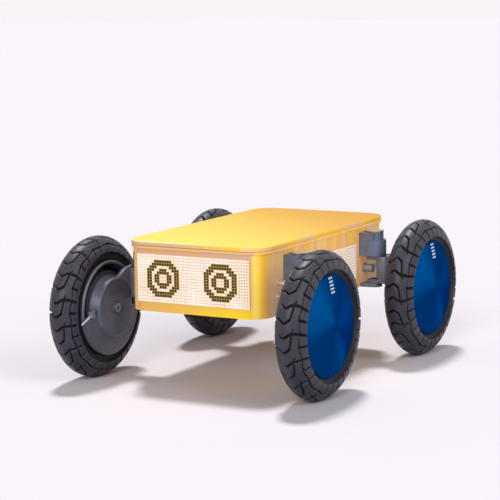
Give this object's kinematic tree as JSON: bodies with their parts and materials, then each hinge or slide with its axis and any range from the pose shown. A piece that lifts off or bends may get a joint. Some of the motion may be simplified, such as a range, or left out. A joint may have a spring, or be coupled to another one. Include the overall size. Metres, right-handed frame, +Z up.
{
  "type": "four-wheel steering robot rover",
  "caption": "Box-bodied four-wheel rover with dot displays and a steered hub-motor wheel at each corner.",
  "frame": {"origin": "on the floor under the middle of the body, with all four wheels standing on it", "axes": "+Z up, the displays' face looks along -Y, +X is the rover's own left"},
  "size_m": [0.514, 0.675, 0.258],
  "materials": {
    "body_plastic": "translucent amber moulding",
    "lid_plastic": "glossy yellow",
    "seal": "matt",
    "display": "lit dot display",
    "frame_metal": "brushed",
    "battery": "matt",
    "circuit": "satin",
    "screw_steel": "bright",
    "dark_plastic": "satin",
    "housing_paint": "satin grey",
    "knuckle_paint": "satin dark grey",
    "cap_bronze": "satin bronze",
    "pin_steel": "ground",
    "winding": "wound core",
    "tyre_rubber": "dark grey, treaded",
    "rim_metal": "satin",
    "cover_blue": "spun, blue",
    "bearing_steel": "ground"
  },
  "bodies": {
    "chassis": {"body_shell": "body_plastic", "lid": "lid_plastic", "lid_seal": "seal", "front_display": "display", "left_display": "display", "right_display": "display", "inner_frame": "frame_metal", "battery_pack": "battery", "control_board": "circuit", "base_cover": "body_plastic", "base_screws": "screw_steel", "charge_port": "dark_plastic", "side_bolts": "screw_steel", "cable_glands": "dark_plastic", "housing_fl": "housing_paint", "cap_fl": "cap_bronze", "lower_arm_fl": "knuckle_paint", "housing_fr": "housing_paint", "cap_fr": "cap_bronze", "lower_arm_fr": "knuckle_paint", "housing_rl": "housing_paint", "cap_rl": "cap_bronze", "lower_arm_rl": "knuckle_paint", "housing_rr": "housing_paint", "cap_rr": "cap_bronze", "lower_arm_rr": "knuckle_paint"},
    "steer_fl": {"knuckle_fl": "knuckle_paint", "kingpins_fl": "pin_steel", "axle_fl": "pin_steel", "stator_fl": "winding"},
    "wheel_fl": {"tyre_fl": "tyre_rubber", "rim_fl": "rim_metal", "wheel_cover_fl": "cover_blue", "bearings_fl": "bearing_steel"},
    "steer_fr": {"knuckle_fr": "knuckle_paint", "kingpins_fr": "pin_steel", "axle_fr": "pin_steel", "stator_fr": "winding"},
    "wheel_fr": {"tyre_fr": "tyre_rubber", "rim_fr": "rim_metal", "wheel_cover_fr": "cover_blue", "bearings_fr": "bearing_steel"},
    "steer_rl": {"knuckle_rl": "knuckle_paint", "kingpins_rl": "pin_steel", "axle_rl": "pin_steel", "stator_rl": "winding"},
    "wheel_rl": {"tyre_rl": "tyre_rubber", "rim_rl": "rim_metal", "wheel_cover_rl": "cover_blue", "bearings_rl": "bearing_steel"},
    "steer_rr": {"knuckle_rr": "knuckle_paint", "kingpins_rr": "pin_steel", "axle_rr": "pin_steel", "stator_rr": "winding"},
    "wheel_rr": {"tyre_rr": "tyre_rubber", "rim_rr": "rim_metal", "wheel_cover_rr": "cover_blue", "bearings_rr": "bearing_steel"}
  },
  "joints": [
    {"name": "steering_fl", "type": "hinge", "parent": "chassis", "child": "steer_fl", "pos_m": [0.1585, -0.148, 0.165], "axis": [0, 0, 1], "range_deg": [-30, 30]},
    {"name": "rolling_fl", "type": "hinge", "parent": "steer_fl", "child": "wheel_fl", "pos_m": [0.225, -0.21, 0.1275], "axis": [1, 0, 0], "continuous": true},
    {"name": "steering_fr", "type": "hinge", "parent": "chassis", "child": "steer_fr", "pos_m": [-0.1585, -0.148, 0.165], "axis": [0, 0, 1], "range_deg": [-30, 30]},
    {"name": "rolling_fr", "type": "hinge", "parent": "steer_fr", "child": "wheel_fr", "pos_m": [-0.225, -0.21, 0.1275], "axis": [1, 0, 0], "continuous": true},
    {"name": "steering_rl", "type": "hinge", "parent": "chassis", "child": "steer_rl", "pos_m": [0.1585, 0.148, 0.165], "axis": [0, 0, 1], "range_deg": [-30, 30]},
    {"name": "rolling_rl", "type": "hinge", "parent": "steer_rl", "child": "wheel_rl", "pos_m": [0.225, 0.21, 0.1275], "axis": [1, 0, 0], "continuous": true},
    {"name": "steering_rr", "type": "hinge", "parent": "chassis", "child": "steer_rr", "pos_m": [-0.1585, 0.148, 0.165], "axis": [0, 0, 1], "range_deg": [-30, 30]},
    {"name": "rolling_rr", "type": "hinge", "parent": "steer_rr", "child": "wheel_rr", "pos_m": [-0.225, 0.21, 0.1275], "axis": [1, 0, 0], "continuous": true}
  ]
}
